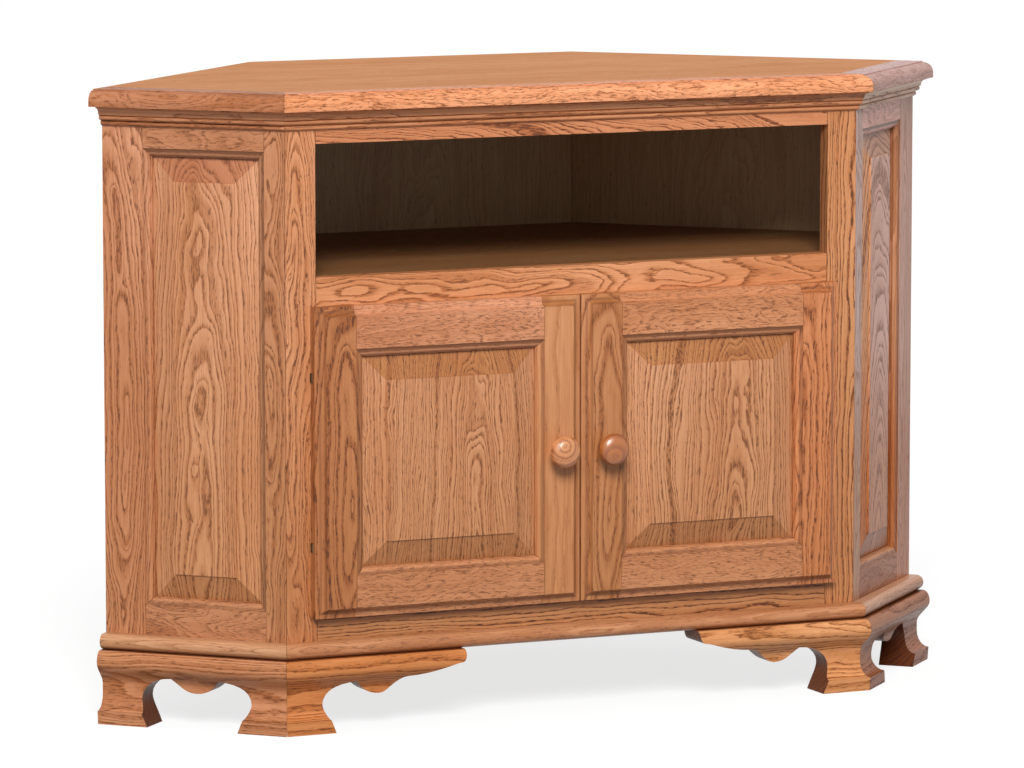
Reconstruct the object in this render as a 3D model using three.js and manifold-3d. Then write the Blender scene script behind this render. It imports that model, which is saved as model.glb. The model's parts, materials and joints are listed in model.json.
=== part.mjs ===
// A corner television cabinet in stained red oak, in millimetres, +Z up.
// The front faces -Y, +X is to the right as seen from the front, and the cabinet stands on Z = 0.
// The front is parallel to the cut-off back corner; a panelled facet turns back at each end of it,
// and two plain walls run from the facets to the back, square to the facets, to fit a room corner.
// Right-hand pieces are built once and mirrored for the left-hand ones.
import * as THREE from "three";
import { mergeVertices } from "three/addons/utils/BufferGeometryUtils.js";
import Module from "manifold-3d";

const wasm = await Module();
wasm.setup();

// Overall sizes of the carcass and top
const overall_height = 710;
const front_width = 705;
const facet_width = 219;
const back_width = 410;
const foot_height = 83;
const board = 19;
const wall_panel = 9;
const facet_turn = Math.PI / 4;

// Clearances, and how far a cutter runs past what it cuts
const joint = 0.3;
const overrun = 2;
const weld = 1e-4;

// Top
const top_thickness = 19;
const top_overhang = 23;
const top_wall_overhang = 6;
const edge_band = 45;
const edge_flat = 6.5;
const edge_round = 13;
const edge_quirk = 1.2;

// Cornice under the top
const cornice_height = 22;
const cornice_projection = 17;
const cornice_fillet = 1.5;
const cornice_cove_share = 0.43;
const cornice_step = 1.2;
const bead_gap = 0.8;

// Face frame
const face_stile = 36.5;
const face_top_rail = 37.2;
const bay_height = 147.5;
const face_mid_rail = 39;
const door_bay_floor = 134;

// Facet frames
const facet_front_stile = 24.6;
const facet_rear_stile = 48.6;
const facet_top_rail = 45.5;
const facet_bottom_rail = 50.7;

// Frame-and-panel joinery, the same in doors and facets
const sticking_reach = 9;
const sticking_quirk = 1;
const sticking_land = 1.2;
const sticking_drop = 5.8;
const groove_front = 9;
const groove_width = 6;
const groove_depth = 7;
const tongue_clearance = 1;
const bevel_width = 27;
const field_step = 1.5;
const field_sink = 1;

// Doors
const door_gap = 1;
const door_overlay = 7;
const door_meeting_gap = 2;
const door_stile = 47;
const door_rail = 47;
const door_edge_width = 11;
const door_edge_depth = 8;
const door_edge_step = 1.2;

// Knobs
const knob_diameter = 36;
const knob_length = 27;
const knob_inset = 29;

// Hinges: a short barrel let into the edge of the door, with a leaf on the frame and one on the door
const hinge_from_end = 79;
const pivot_inset = 1.2;
const pivot_setback = 4.2;
const barrel_radius = 2.4;
const barrel_length = 10;
const barrel_clearance = 0.4;
const pin_radius = 1.2;
const pin_clearance = 0.1;
const leaf_thickness = 1.4;
const leaf_proud = 0.2;
const leaf_height = 38;
const leaf_width = 28;
const leaf_neck = 2.4;
const door_leaf_width = 24;
const door_leaf_setback = 6;

// Shelves and decks
const shelf_thickness = 18;
const inner_shelf_height = 300;
const inner_shelf_setback = 70;
const shelf_side_gap = 1.5;
const cleat_width = 19;
const cleat_length = 210;
const cleat_setback = 30;

// Door catches
const catch_width = 30;
const catch_gap = 6;
const catch_depth = 15;
const catch_height = 12;
const catch_setback = 2;

// Base moulding and bracket feet
const base_moulding_height = 17.6;
const base_moulding_projection = 18;
const bracket_thickness = 43;
const bracket_top = 17.5;
const bracket_bulge = 26;
const bracket_waist = 10.3;
const bracket_toe = 25;
const bracket_toe_draft = 1.2;
const bracket_shoulder_height = 70;
const bracket_waist_top = 44;
const bracket_waist_foot = 34;
const bracket_toe_height = 15;
const bracket_leaf = 218;
const toe_width = 60;
const neck_width = 48.5;
const neck_height = 31;
const arch_height = 55;
const drop_reach = 117;
const drop_height = 39;
const tail_height = 69;

// Rear foot
const rear_foot = 48;
const rear_foot_inset = 12;

// Derived levels and plan places
const half_front = front_width / 2;
const half_back = back_width / 2;
const bay_half_width = half_front - face_stile;
const mitre = Math.tan(facet_turn / 2);
const turn_cos = Math.cos(facet_turn);
const turn_sin = Math.sin(facet_turn);
const top_floor = overall_height - top_thickness;
const carcass_top = top_floor - joint;
const carcass_foot = foot_height + joint;
const bay_ceiling = carcass_top - face_top_rail;
const bay_floor = bay_ceiling - bay_height;
const door_bay_top = bay_floor - face_mid_rail;
const wall_length = (half_front + facet_width * turn_cos - half_back) / turn_sin;
const carcass_depth = facet_width * turn_sin + wall_length * turn_cos;
const door_front = -(door_gap + board);
const door_outer = bay_half_width + door_overlay;
const door_inner = door_meeting_gap / 2;
const door_foot = door_bay_floor - door_overlay;
const door_top = door_bay_top + door_overlay;
const pivot_x = door_outer - pivot_inset;
const pivot_y = -pivot_setback;
const knob_front = door_front - joint - knob_length;
const plan_centre = (knob_front + carcass_depth + top_wall_overhang) / 2;

// Number of straight steps in each kind of curve
const arc_steps = 6;
const outline_steps = 7;
const barrel_sides = 24;
const knob_sides = 32;

// Finishes
function finish(color, roughness, metalness) {
  return () => new THREE.MeshStandardMaterial({ color, roughness, metalness });
}
const oak = finish(0xc98d5c, 0.42, 0);
const oak_veneer = finish(0xc99460, 0.4, 0);
const oak_panel = finish(0xcf9a68, 0.42, 0);
const plywood = finish(0xb07a48, 0.6, 0);
const bronze = finish(0x5a4028, 0.45, 0.8);
const catch_plastic = finish(0x5b4636, 0.55, 0);

// Solids

function solid(geometry) {
  const bare = new THREE.BufferGeometry();
  const loose = geometry.index ? geometry.toNonIndexed() : geometry;
  bare.setAttribute("position", loose.getAttribute("position"));
  const merged = mergeVertices(bare, weld);
  const mesh = new wasm.Mesh({
    numProp: 3,
    vertProperties: merged.attributes.position.array,
    triVerts: new Uint32Array(merged.index.array),
  });
  return new wasm.Manifold(mesh);
}

function geometryOf(body) {
  const mesh = body.getMesh();
  const geometry = new THREE.BufferGeometry();
  geometry.setAttribute("position", new THREE.BufferAttribute(mesh.vertProperties, 3));
  geometry.setIndex(new THREE.BufferAttribute(mesh.triVerts, 1));
  geometry.computeVertexNormals();
  return geometry;
}

function box(x0, x1, y0, y1, z0, z1) {
  const geometry = new THREE.BoxGeometry(x1 - x0, y1 - y0, z1 - z0);
  geometry.translate((x0 + x1) / 2, (y0 + y1) / 2, (z0 + z1) / 2);
  return solid(geometry);
}

function shapeOf(points) {
  return new THREE.Shape(points.map(([x, y]) => new THREE.Vector2(x, y)));
}

// An upright prism of a plan outline given as [x, y] points.
function prism(points, z0, z1) {
  const geometry = new THREE.ExtrudeGeometry(shapeOf(points), { depth: z1 - z0, bevelEnabled: false });
  geometry.translate(0, 0, z0);
  return solid(geometry);
}

// A prism that runs along Y, of a front outline given as [x, z] points.
function frontPrism(points, y0, y1) {
  const geometry = new THREE.ExtrudeGeometry(shapeOf(points), { depth: y1 - y0, bevelEnabled: false });
  geometry.rotateX(Math.PI / 2);
  geometry.translate(0, y1, 0);
  return solid(geometry);
}

// An upright cylinder.
function post(x, y, radius, z0, z1) {
  const geometry = new THREE.CylinderGeometry(radius, radius, z1 - z0, barrel_sides);
  geometry.rotateX(Math.PI / 2);
  geometry.translate(x, y, (z0 + z1) / 2);
  return solid(geometry);
}

// A moulding along X. The section is a list of [y, z] points; startAt and endAt give X for each y,
// so that sloping ends make the mitres.
function moulding(section, startAt, endAt) {
  const geometry = new THREE.ExtrudeGeometry(shapeOf(section), { depth: 1, bevelEnabled: false });
  const place = geometry.getAttribute("position");
  for (let i = 0; i < place.count; i += 1) {
    const y = place.getX(i);
    const z = place.getY(i);
    const along = place.getZ(i);
    const start = startAt(y);
    place.setXYZ(i, start + (endAt(y) - start) * along, y, z);
  }
  return solid(geometry);
}

// The four corners of a rectangle grown by a margin, anticlockwise as seen from the front.
function corners(rect, margin) {
  return [
    [rect.x0 - margin, rect.z0 - margin],
    [rect.x1 + margin, rect.z0 - margin],
    [rect.x1 + margin, rect.z1 + margin],
    [rect.x0 - margin, rect.z1 + margin],
  ];
}

// Four-cornered rows of vertices, joined side by side; each row is a [margin, y] pair.
function joinedRows(rect, rows, closed) {
  const places = [];
  const faces = [];
  rows.forEach(([margin, y]) => corners(rect, margin).forEach(([x, z]) => places.push(x, y, z)));
  const links = closed ? rows.length : rows.length - 1;
  for (let row = 0; row < links; row += 1) {
    for (let side = 0; side < 4; side += 1) {
      const next_row = (row + 1) % rows.length;
      const next_side = (side + 1) % 4;
      const a = row * 4 + side;
      const b = next_row * 4 + side;
      const c = next_row * 4 + next_side;
      const d = row * 4 + next_side;
      faces.push(a, b, c, a, c, d);
    }
  }
  if (!closed) {
    const last = (rows.length - 1) * 4;
    faces.push(0, 1, 2, 0, 2, 3);
    faces.push(last, last + 2, last + 1, last, last + 3, last + 2);
  }
  const geometry = new THREE.BufferGeometry();
  geometry.setAttribute("position", new THREE.Float32BufferAttribute(places, 3));
  geometry.setIndex(faces);
  return solid(geometry);
}

// A closed section swept round a rectangle, anticlockwise in [margin, y].
function ring(rect, section) {
  const points = section.map(([x, y]) => new THREE.Vector2(x, y));
  const turned = THREE.ShapeUtils.isClockWise(points) ? [...section].reverse() : section;
  return joinedRows(rect, turned, true);
}

// A quarter of an ellipse about [cx, cy], from the end of its first radius to that of its second.
function quarter(cx, cy, first, second) {
  const points = [];
  for (let i = 0; i <= arc_steps; i += 1) {
    const angle = (i / arc_steps) * (Math.PI / 2);
    const along = Math.cos(angle);
    const across = Math.sin(angle);
    points.push([cx + first[0] * along + second[0] * across, cy + first[1] * along + second[1] * across]);
  }
  return points;
}

// Plan corners of the carcass, moved in from the front and facets, and from the walls and back.

function onFacet(x, y) {
  return [half_front + x * turn_cos - y * turn_sin, x * turn_sin + y * turn_cos];
}

function backCorner(wall_inset) {
  const y = carcass_depth - wall_inset;
  const run = facet_width - wall_inset;
  const across = (y - run * turn_sin) / turn_cos;
  return onFacet(run, across);
}

function mirrored(points) {
  return [...points, ...points.map(([x, y]) => [-x, y]).reverse()];
}

function planOutline(front_inset, wall_inset) {
  const front = [half_front - mitre * front_inset, front_inset];
  const side = onFacet(facet_width - wall_inset, front_inset);
  return mirrored([front, side, backCorner(wall_inset)]);
}

// Groups: each facet group stands at a front corner, turned along the facet; the mirror makes the left pieces

const cabinet = new THREE.Group();
cabinet.position.y = -plan_centre;
const mirror = new THREE.Group();
mirror.scale.x = -1;
cabinet.add(mirror);

function facetGroup(parent) {
  const group = new THREE.Group();
  group.position.x = half_front;
  group.rotation.z = facet_turn;
  parent.add(group);
  return group;
}

const right = { front: cabinet, facet: facetGroup(cabinet) };
const left = { front: mirror, facet: facetGroup(mirror) };
const sides = { left, right };

function add(parent, name, body, material) {
  const mesh = new THREE.Mesh(geometryOf(body), material());
  mesh.name = name;
  parent.add(mesh);
}

// Front runs are mitred at both ends; facet runs are mitred at the front and square at the wall.

function frontRun(section) {
  const end = (y) => half_front - mitre * y - joint / 2;
  return moulding(section, (y) => -end(y), end);
}

function facetRun(section, wall_overhang) {
  return moulding(section, (y) => mitre * y + joint / 2, () => facet_width + wall_overhang);
}

// Top: a veneered field with a moulded solid band along the front and both facets

function topEdgeSection() {
  const inner = edge_band - top_overhang;
  const round_height = top_thickness - edge_flat - edge_quirk;
  const shoulder = -top_overhang + edge_round;
  const round = quarter(shoulder, top_floor + edge_flat, [-edge_round, 0], [0, round_height]);
  return [
    [inner, top_floor],
    [-top_overhang, top_floor],
    ...round,
    [shoulder, overall_height],
    [inner, overall_height],
  ];
}

function makeTop() {
  const section = topEdgeSection();
  const field_inset = edge_band - top_overhang + joint;
  const outline = planOutline(field_inset, -top_wall_overhang);
  add(cabinet, "top_field", prism(outline, top_floor, overall_height), oak_veneer);
  add(cabinet, "top_edge_front", frontRun(section), oak);
  add(left.facet, "top_edge_left", facetRun(section, top_wall_overhang), oak);
  add(right.facet, "top_edge_right", facetRun(section, top_wall_overhang), oak);
}

// Cornice: a cove over two beads, planted on the carcass under the top

function bead(reach, z_top, z_foot) {
  const points = [];
  const swell = (z_top - z_foot) / 2;
  for (let i = 0; i <= arc_steps; i += 1) {
    const angle = (i / arc_steps) * Math.PI;
    points.push([-(reach + swell * Math.sin(angle)), z_top - swell + swell * Math.cos(angle)]);
  }
  return points;
}

function corniceSection() {
  const crown = carcass_top;
  const foot = crown - cornice_height;
  const cove_foot = crown - cornice_height * cornice_cove_share;
  const cove_reach = cornice_projection * cornice_cove_share;
  const cove_height = crown - cornice_fillet - cove_foot;
  const cove = quarter(-cornice_projection, cove_foot, [0, cove_height], [cove_reach, 0]);
  const bead_height = (cove_foot - foot - bead_gap * 2) / 2;
  const first_top = cove_foot;
  const second_top = first_top - bead_height - bead_gap;
  const first_reach = cornice_projection - cove_reach - cornice_step - bead_height / 2;
  const second_reach = first_reach / 2 - bead_height / 4;
  return [
    [-joint, crown],
    [-cornice_projection, crown],
    ...cove,
    ...bead(first_reach, first_top, first_top - bead_height),
    [-first_reach + cornice_step, second_top],
    ...bead(second_reach, second_top, second_top - bead_height),
    [-second_reach + cornice_step, foot],
    [-joint, foot],
  ];
}

function makeCornice() {
  const section = corniceSection();
  add(cabinet, "cornice_front", frontRun(section), oak);
  add(left.facet, "cornice_left", facetRun(section, 0), oak);
  add(right.facet, "cornice_right", facetRun(section, 0), oak);
}

// Hinge places: heights of the two barrels on each door

const hinge_heights = {
  upper: door_top - hinge_from_end,
  lower: door_foot + hinge_from_end,
};

// Face frame: two stiles mitred to the facets, and three rails between them

function hingeStrap(z, gap) {
  const reach = pivot_x + leaf_neck / 2 + gap;
  const half = barrel_length / 2 + gap;
  const inner = bay_half_width - leaf_thickness - joint;
  return box(inner, reach, -leaf_proud - gap, leaf_thickness - leaf_proud + gap, z - half, z + half);
}

function makeFaceFrame() {
  const outer = half_front - joint / 2;
  const plan = [[bay_half_width, 0], [outer, 0], [outer - mitre * board, board], [bay_half_width, board]];
  let stile = prism(plan, carcass_foot, carcass_top);
  Object.values(hinge_heights).forEach((z) => {
    stile = stile.subtract(hingeStrap(z, joint));
  });
  const rail_end = bay_half_width - joint;
  const rail = (z0, z1) => box(-rail_end, rail_end, 0, board, z0, z1);
  add(left.front, "face_stile_left", stile, oak);
  add(right.front, "face_stile_right", stile, oak);
  add(cabinet, "face_top_rail", rail(bay_ceiling, carcass_top), oak);
  add(cabinet, "face_mid_rail", rail(door_bay_top, bay_floor), oak);
  add(cabinet, "face_base_rail", rail(carcass_foot, door_bay_floor), oak);
}

// Frame-and-panel work. An opening is the rectangle between the faces of the frame members;
// the sticking reaches into it and holds the tongue of the panel in a groove.

function stickingSection(face) {
  const round_reach = sticking_reach - sticking_land * 2;
  const round_drop = sticking_drop - sticking_quirk;
  const land = face + sticking_quirk;
  const round = quarter(-sticking_land, land + round_drop, [0, -round_drop], [-round_reach, 0]);
  const groove_end = -sticking_reach + groove_depth;
  return [
    [overrun, land],
    ...round,
    [-sticking_reach, face + sticking_drop],
    [-sticking_reach, face + groove_front],
    [groove_end, face + groove_front],
    [groove_end, face + groove_front + groove_width],
    [-sticking_reach, face + groove_front + groove_width],
    [-sticking_reach, face + board],
    [overrun, face + board],
  ];
}

// Front outlines of the four members, half a joint clear of each other; the sticking is mitred.
function memberOutlines(rect, opening) {
  const half = joint / 2;
  const reach = sticking_reach + overrun;
  const low = rect.z0 - overrun;
  const high = rect.z1 + overrun;
  const stile = (outer, edge, inward) => [
    [outer, low],
    [edge - inward * half, low],
    [edge - inward * half, opening.z0],
    [edge + inward * reach, opening.z0 + reach + half],
    [edge + inward * reach, opening.z1 - reach - half],
    [edge - inward * half, opening.z1],
    [edge - inward * half, high],
    [outer, high],
  ];
  const rail = (outer, edge, inward) => [
    [opening.x0 + half, outer],
    [opening.x1 - half, outer],
    [opening.x1 - half, edge],
    [opening.x1 - reach, edge + inward * (reach - half)],
    [opening.x0 + reach, edge + inward * (reach - half)],
    [opening.x0 + half, edge],
  ];
  return {
    inner_stile: stile(rect.x0 - overrun, opening.x0, 1),
    outer_stile: stile(rect.x1 + overrun, opening.x1, -1),
    bottom_rail: rail(low, opening.z0, 1),
    top_rail: rail(high, opening.z1, -1),
  };
}

// Cuts the four members out of one blank that already has its openings, mortises and edges.
function members(blank, rect, opening, face) {
  const hole = box(opening.x0, opening.x1, face - overrun, face + board + overrun, opening.z0, opening.z1);
  const framed = blank.subtract(hole).add(ring(opening, stickingSection(face)));
  const outlines = memberOutlines(rect, opening);
  const cut = (points) => framed.intersect(frontPrism(points, face - overrun, face + board + overrun));
  return Object.fromEntries(Object.entries(outlines).map(([key, points]) => [key, cut(points)]));
}

// A raised panel: a tongue in the groove, a broad bevel and a field a little below the frame's face.
function raisedPanel(opening, face) {
  const tongue = -sticking_reach + groove_depth - tongue_clearance;
  const back = face + groove_front + groove_width - joint;
  const front = face + groove_front + joint;
  const field = -sticking_reach - bevel_width;
  const rows = [
    [field, face + field_sink],
    [field, face + field_sink + field_step],
    [-sticking_reach, front],
    [tongue, front],
    [tongue, back],
  ];
  return joinedRows(opening, rows, false);
}

// Facets: a stile at each end, two rails and a raised panel

function makeFacet(side) {
  const rect = { x0: 0, x1: facet_width, z0: carcass_foot, z1: carcass_top };
  const opening = {
    x0: facet_front_stile,
    x1: facet_width - facet_rear_stile,
    z0: carcass_foot + facet_bottom_rail,
    z1: carcass_top - facet_top_rail,
  };
  const start = joint / 2;
  const plan = [[start, 0], [facet_width, 0], [facet_width, board], [start + mitre * board, board]];
  const cut = members(prism(plan, rect.z0, rect.z1), rect, opening, 0);
  const group = sides[side].facet;
  add(group, side + "_facet_front_stile", cut.inner_stile, oak);
  add(group, side + "_facet_rear_stile", cut.outer_stile, oak);
  add(group, side + "_facet_top_rail", cut.top_rail, oak);
  add(group, side + "_facet_bottom_rail", cut.bottom_rail, oak);
  add(group, side + "_facet_panel", raisedPanel(opening, 0), oak_panel);
}

// Doors: they overlay the frame, and a small step and a cove run round their edges

function doorEdgeCutter(rect) {
  const step = door_front + door_edge_step;
  const cove_width = door_edge_width - door_edge_step;
  const cove_depth = door_edge_depth - door_edge_step;
  const section = [
    [-door_edge_width, door_front - overrun],
    [-door_edge_width, step],
    ...quarter(0, step, [-cove_width, 0], [0, cove_depth]),
    [overrun, door_front + door_edge_depth],
    [overrun, door_front - overrun],
  ];
  return ring(rect, section);
}

function hingeMortise(z) {
  const half = barrel_length / 2 + barrel_clearance;
  const clear = barrel_radius + barrel_clearance;
  const well = box(pivot_x - clear, door_outer + overrun, pivot_y - clear, overrun, z - half, z + half);
  return well.add(doorLeafPlate(z, joint));
}

function doorLeafPlate(z, gap) {
  const outer = pivot_x - door_leaf_setback;
  const inner = outer - door_leaf_width;
  const back = -door_gap + leaf_proud;
  const half = leaf_height / 2 + gap;
  const strap_foot = z + joint / 2 - gap;
  const strap_top = z + barrel_length / 2 + gap;
  const front = back - leaf_thickness - gap;
  const plate = box(inner - gap, outer + gap, front, back + gap, z - half, z + half);
  return plate.add(box(outer, pivot_x, front, back + gap, strap_foot, strap_top));
}

function makeDoor(side) {
  const rect = { x0: door_inner, x1: door_outer, z0: door_foot, z1: door_top };
  const opening = {
    x0: door_inner + door_stile,
    x1: door_outer - door_stile,
    z0: door_foot + door_rail,
    z1: door_top - door_rail,
  };
  let blank = box(rect.x0, rect.x1, door_front, -door_gap, rect.z0, rect.z1).subtract(doorEdgeCutter(rect));
  Object.values(hinge_heights).forEach((z) => {
    blank = blank.subtract(hingeMortise(z));
  });
  const cut = members(blank, rect, opening, door_front);
  const group = sides[side].front;
  add(group, side + "_door_lock_stile", cut.inner_stile, oak);
  add(group, side + "_door_hinge_stile", cut.outer_stile, oak);
  add(group, side + "_door_top_rail", cut.top_rail, oak);
  add(group, side + "_door_bottom_rail", cut.bottom_rail, oak);
  add(group, side + "_door_panel", raisedPanel(opening, door_front), oak_panel);
}

// Knobs: turned, with a collar, a neck and a low domed cap; shares of the radius and of the length

const knob_profile_shares = [
  [0.54, 0],
  [0.56, 0.06],
  [0.46, 0.18],
  [0.42, 0.32],
  [0.56, 0.43],
  [0.88, 0.51],
  [1, 0.6],
  [0.98, 0.72],
  [0.84, 0.87],
  [0.52, 0.97],
  [0.2, 1],
];

function makeKnob(side) {
  const radius = knob_diameter / 2;
  const turned = knob_profile_shares.map(([r, h]) => new THREE.Vector2(r * radius, h * knob_length));
  const foot = new THREE.Vector2(0, 0);
  const crown = new THREE.Vector2(0, knob_length);
  const curve = new THREE.SplineCurve(turned).getPoints(knob_profile_shares.length * 2);
  const geometry = new THREE.LatheGeometry([foot, ...curve, crown], knob_sides);
  geometry.rotateX(Math.PI);
  geometry.translate(door_inner + knob_inset, door_front - joint, (door_foot + door_top) / 2);
  add(sides[side].front, side + "_door_knob", solid(geometry), oak);
}

// Hinges: the frame leaf has the lower half of the barrel and the pin, the door leaf the upper half

function frameLeaf(z) {
  const half = barrel_length / 2;
  const face = bay_half_width - joint;
  const knuckle = post(pivot_x, pivot_y, barrel_radius, z - half, z - joint / 2);
  const pin = post(pivot_x, pivot_y, pin_radius, z - half, z + half);
  const neck_half = leaf_neck / 2;
  const neck = box(pivot_x - neck_half, pivot_x + neck_half, pivot_y, 0, z - half, z - joint / 2);
  const plate_half = leaf_height / 2;
  const plate = box(face - leaf_thickness, face, -leaf_proud, leaf_width, z - plate_half, z + plate_half);
  return knuckle.add(pin).add(neck).add(hingeStrap(z, 0)).add(plate);
}

function doorLeaf(z) {
  const half = barrel_length / 2;
  const outside = post(pivot_x, pivot_y, barrel_radius, z + joint / 2, z + half);
  const bore = post(pivot_x, pivot_y, pin_radius + pin_clearance, z - half, z + half + overrun);
  const back = -door_gap + leaf_proud;
  const neck = box(pivot_x - barrel_radius, pivot_x, pivot_y, back, z + joint / 2, z + half);
  return outside.add(neck).add(doorLeafPlate(z, 0)).subtract(bore);
}

function makeHinges(side) {
  Object.entries(hinge_heights).forEach(([level, z]) => {
    const name = side + "_" + level + "_hinge";
    add(sides[side].front, name + "_frame_leaf", frameLeaf(z), bronze);
    add(sides[side].front, name + "_door_leaf", doorLeaf(z), bronze);
  });
}

// Walls and back: plain panels from the facets to the cut-off corner

function makeBack() {
  const start = board + joint;
  const outer = backCorner(0);
  const inner = backCorner(wall_panel);
  const wall = [onFacet(facet_width, start), outer, inner, onFacet(facet_width - wall_panel, start)];
  const end = outer[0] - joint;
  const inner_end = inner[0] - joint;
  const back_plane = carcass_depth - wall_panel;
  const back = mirrored([[inner_end, back_plane], [end, carcass_depth]]);
  add(left.front, "wall_panel_left", prism(wall, carcass_foot, carcass_top), plywood);
  add(right.front, "wall_panel_right", prism(wall, carcass_foot, carcass_top), plywood);
  add(cabinet, "back_panel", prism(back, carcass_foot, carcass_top), plywood);
}

// Shelves: the media shelf and the bottom deck fill the plan; the inner shelf lies on two cleats

function makeShelves() {
  const outline = planOutline(board + joint, wall_panel + joint);
  const loose = planOutline(board + shelf_side_gap, wall_panel + shelf_side_gap);
  const reach = half_front + facet_width;
  const front = box(-reach, reach, -overrun, inner_shelf_setback, 0, overall_height);
  const shelf_floor = inner_shelf_height - shelf_thickness;
  const inner = prism(loose, shelf_floor, inner_shelf_height).subtract(front);
  add(cabinet, "media_shelf", prism(outline, bay_floor - shelf_thickness, bay_floor), plywood);
  add(cabinet, "bottom_deck", prism(outline, door_bay_floor - shelf_thickness, door_bay_floor), plywood);
  add(cabinet, "inner_shelf", inner, plywood);
  const wall_face = facet_width - wall_panel - joint;
  const start = board + cleat_setback;
  const cleat_top = shelf_floor - joint;
  const cleat_foot = cleat_top - cleat_width;
  const cleat = box(wall_face - cleat_width, wall_face, start, start + cleat_length, cleat_foot, cleat_top);
  add(left.facet, "shelf_cleat_left", cleat, oak);
  add(right.facet, "shelf_cleat_right", cleat, oak);
}

function makeCatches() {
  const start = catch_gap / 2;
  const crown = door_bay_top - joint;
  const back = catch_setback + catch_depth;
  const body = box(start, start + catch_width, catch_setback, back, crown - catch_height, crown);
  add(left.front, "door_catch_left", body, catch_plastic);
  add(right.front, "door_catch_right", body, catch_plastic);
}

// Base moulding: a full half-round nose at the foot of the carcass

function baseMouldingSection() {
  const radius = (base_moulding_height - joint) / 2;
  const middle = carcass_foot + radius;
  const nose = -base_moulding_projection + radius;
  const upper = quarter(nose, middle, [0, radius], [-radius, 0]);
  const lower = quarter(nose, middle, [-radius, 0], [0, -radius]).slice(1);
  return [[-joint, middle + radius], ...upper, ...lower, [-joint, middle - radius]];
}

function makeBaseMoulding() {
  const section = baseMouldingSection();
  add(cabinet, "base_moulding_front", frontRun(section), oak);
  add(left.facet, "base_moulding_left", facetRun(section, 0), oak);
  add(right.facet, "base_moulding_right", facetRun(section, 0), oak);
}

// Bracket feet: thick boards with an ogee face, cut to a scrolled outline

function ogeeSection() {
  const shoulder_rise = foot_height - bracket_shoulder_height;
  const shoulder_reach = bracket_bulge - bracket_top;
  const shoulder_place = [-bracket_top, bracket_shoulder_height];
  const shoulder = quarter(shoulder_place[0], shoulder_place[1], [0, shoulder_rise], [-shoulder_reach, 0]);
  const swing = [];
  for (let i = 1; i <= arc_steps * 2; i += 1) {
    const share = i / (arc_steps * 2);
    const blend = (1 + Math.cos(share * Math.PI)) / 2;
    const y = -bracket_waist - (bracket_bulge - bracket_waist) * blend;
    swing.push([y, bracket_shoulder_height + (bracket_waist_top - bracket_shoulder_height) * share]);
  }
  const flare_reach = bracket_toe - bracket_waist;
  const flare_drop = bracket_waist_foot - bracket_toe_height;
  const flare = quarter(-bracket_toe, bracket_waist_foot, [flare_reach, 0], [0, -flare_drop]);
  const back = bracket_thickness - bracket_toe;
  return [
    [back, foot_height],
    ...shoulder,
    ...swing,
    ...flare,
    [-bracket_toe + bracket_toe_draft, 0],
    [back, 0],
  ];
}

// The scroll from the toe over the arch to the foot of the drop, measured from the corner.
function footScroll(shape, drop) {
  const half_share = 0.5;
  const round_share = 0.55;
  const arch_share = 0.75;
  const arch = drop * arch_share;
  const flare = neck_width + (toe_width - neck_width) * half_share;
  const ankle = neck_height * half_share;
  const throat = neck_height * arch_share;
  shape.bezierCurveTo(flare, ankle, neck_width, throat, neck_width, neck_height);
  const shoulder = neck_height + (arch_height - neck_height) * round_share;
  const crown = arch - (arch - neck_width) * round_share;
  shape.bezierCurveTo(neck_width, shoulder, crown, arch_height, arch, arch_height);
  const cusp = arch + (drop - arch) * half_share * half_share;
  const knee = arch + (drop - arch) * half_share;
  const fall = arch_height - (arch_height - drop_height) * half_share;
  shape.bezierCurveTo(cusp, fall, knee, drop_height, drop, drop_height);
}

function scrollPoints(shape, start) {
  return shape.getPoints(outline_steps).map((point) => [start + point.x, point.y]);
}

function leafOutline() {
  const shape = new THREE.Shape();
  const crest = foot_height + overrun;
  shape.moveTo(-bracket_bulge, -overrun);
  shape.lineTo(toe_width, -overrun);
  shape.lineTo(toe_width, 0);
  footScroll(shape, drop_reach);
  const rest = bracket_leaf - drop_reach;
  const rise = tail_height - drop_height;
  const lip = (foot_height - tail_height) / 2;
  const knee_share = 0.12;
  const climb_share = 0.2;
  const swell_share = 0.32;
  const level_share = 0.6;
  const swell = drop_reach + rest * swell_share;
  const swell_height = drop_height + rise * level_share;
  const knee = drop_reach + rest * knee_share;
  const climb = drop_reach + rest * climb_share;
  shape.bezierCurveTo(knee, drop_height, climb, swell_height, swell, swell_height);
  const level = drop_reach + rest * level_share;
  const nose = bracket_leaf - lip;
  shape.bezierCurveTo(level, swell_height, nose - lip, tail_height, nose, tail_height);
  shape.quadraticCurveTo(bracket_leaf, tail_height, bracket_leaf, foot_height);
  shape.lineTo(bracket_leaf, crest);
  shape.lineTo(-bracket_bulge, crest);
  return scrollPoints(shape, 0);
}

function facetBoardOutline(start, end) {
  const middle = (end - start) / 2;
  const shape = new THREE.Shape();
  const crest = foot_height + overrun;
  shape.moveTo(-bracket_bulge, -overrun);
  shape.lineTo(toe_width, -overrun);
  shape.lineTo(toe_width, 0);
  footScroll(shape, middle);
  const half = scrollPoints(shape, start);
  const other = half.slice(0, -1).map(([x, z]) => [start + end - x, z]).reverse();
  return [...half, ...other, [start + end + bracket_bulge, crest], [start - bracket_bulge, crest]];
}

function makeBrackets() {
  const section = ogeeSection();
  const back = bracket_thickness - bracket_toe + overrun;
  const front = -bracket_bulge - overrun;
  const corner = half_front + mitre * bracket_toe;
  const leaf_cut = leafOutline().map(([x, z]) => [corner - x, z]);
  const leaf = frontRun(section).intersect(frontPrism(leaf_cut, front, back));
  const start = -mitre * bracket_toe;
  const board_cut = facetBoardOutline(start, facet_width);
  const facet_board = facetRun(section, 0).intersect(frontPrism(board_cut, front, back));
  Object.entries(sides).forEach(([side, groups]) => {
    add(groups.front, "bracket_front_" + side, leaf, oak);
    add(groups.facet, "bracket_facet_" + side, facet_board, oak);
  });
}

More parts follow.
